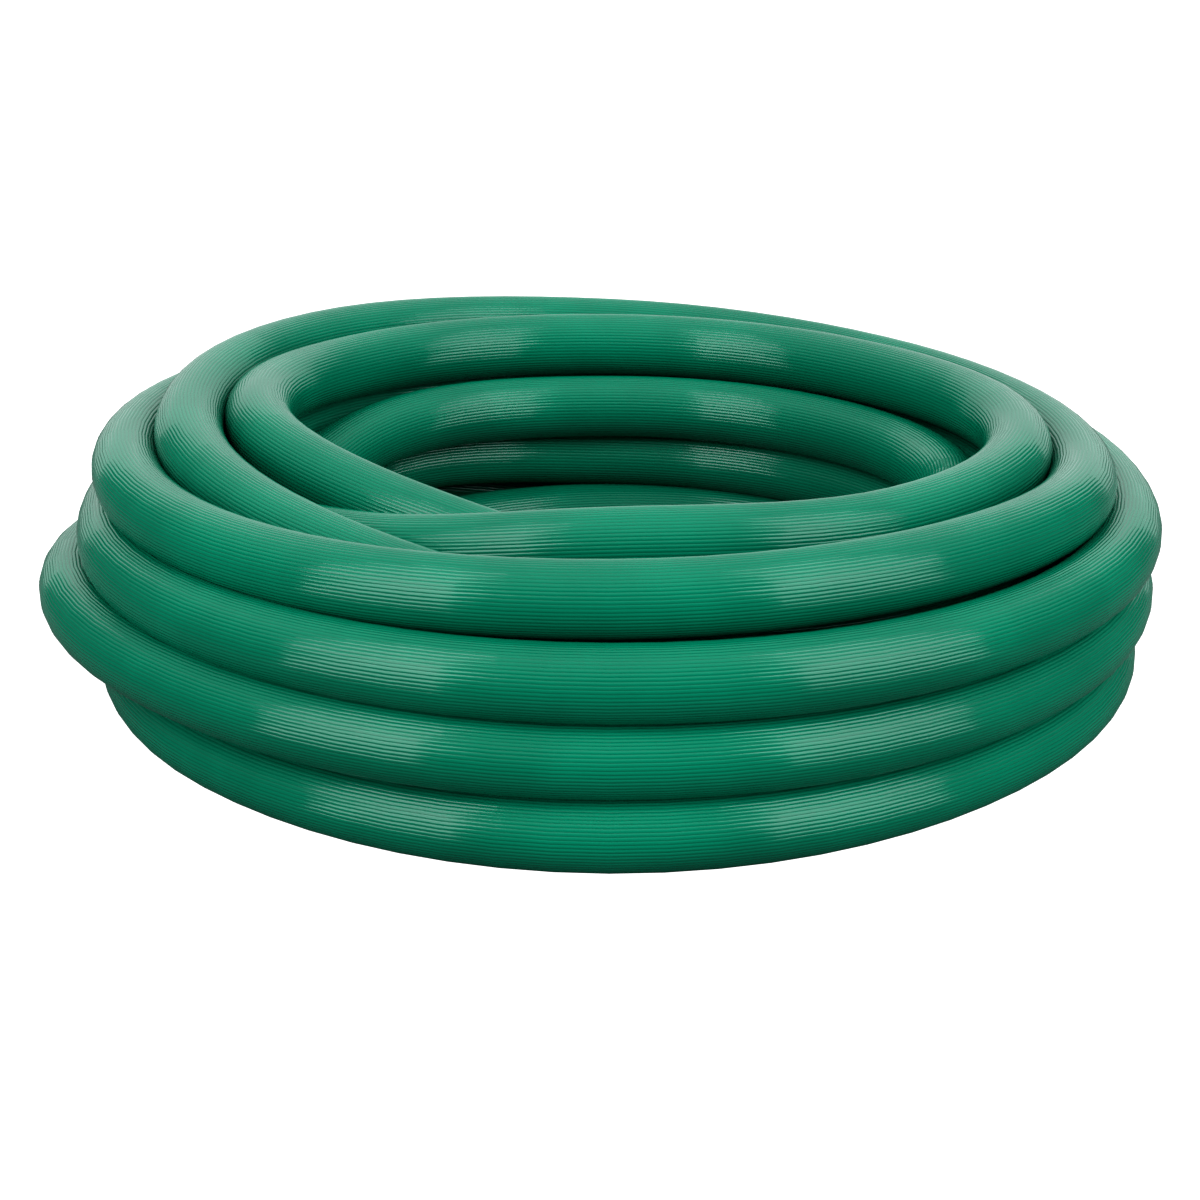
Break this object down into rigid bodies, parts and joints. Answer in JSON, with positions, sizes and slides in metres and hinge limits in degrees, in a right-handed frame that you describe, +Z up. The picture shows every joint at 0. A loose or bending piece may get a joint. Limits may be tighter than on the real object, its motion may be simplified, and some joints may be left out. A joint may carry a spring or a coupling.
{
  "type": "garden hose",
  "caption": "Coiled round ribbed garden hose with a swivel inlet coupling at one end and a screw-capped outlet at the other.",
  "frame": {"origin": "on the coil's axis, at the plane it lies on", "axes": "+Z up along the coil's axis; -Y is the side the top turns cross on and +X is the way the inlet coupling points"},
  "size_m": [0.426, 0.426, 0.1048],
  "materials": {
    "hose_cover": "semi-gloss flexible PVC with fine lengthwise ribs",
    "hose_liner": "smooth dark liner",
    "hose_braid": "polyester yarn",
    "turned_brass": "turned and knurled",
    "crimped_brass": "drawn sleeve, crimped",
    "washer_rubber": "moulded",
    "restrictor_plastic": "moulded"
  },
  "bodies": {
    "hose": {"hose_coil": "hose_cover", "hose_inlet_run": "hose_cover", "hose_outlet_run": "hose_cover", "inlet_hose_liner": "hose_liner", "inlet_hose_braid": "hose_braid", "inlet_hose_cover": "hose_cover", "outlet_hose_liner": "hose_liner", "outlet_hose_braid": "hose_braid", "outlet_hose_cover": "hose_cover", "inlet_ferrule": "crimped_brass", "inlet_tail": "turned_brass", "outlet_ferrule": "crimped_brass", "outlet_tail": "turned_brass"},
    "nut": {"swivel_nut": "turned_brass", "inlet_washer": "washer_rubber", "flow_restrictor": "restrictor_plastic"},
    "cap_seal": {"cap_washer": "washer_rubber"},
    "cap": {"end_cap": "turned_brass"}
  },
  "joints": [
    {"name": "nut_turn", "type": "hinge", "parent": "hose", "child": "nut", "pos_m": [0.165, 0.18804, 0.0175], "axis": [1, 0, 0], "continuous": true},
    {"name": "cap_travel", "type": "slide", "parent": "hose", "child": "cap_seal", "axis": [0.766, 0.6428, 0], "range_m": [0, 0.0113]},
    {"name": "cap_turn", "type": "hinge", "parent": "cap_seal", "child": "cap", "pos_m": [0.0785, -0.064, 0.0175], "axis": [0.766, 0.6428, 0], "range_deg": [0, 1800]}
  ],
  "couplings": [
    {"joint": "cap_travel", "follows": "cap_turn", "m_per_rad": 0.00035157}
  ]
}
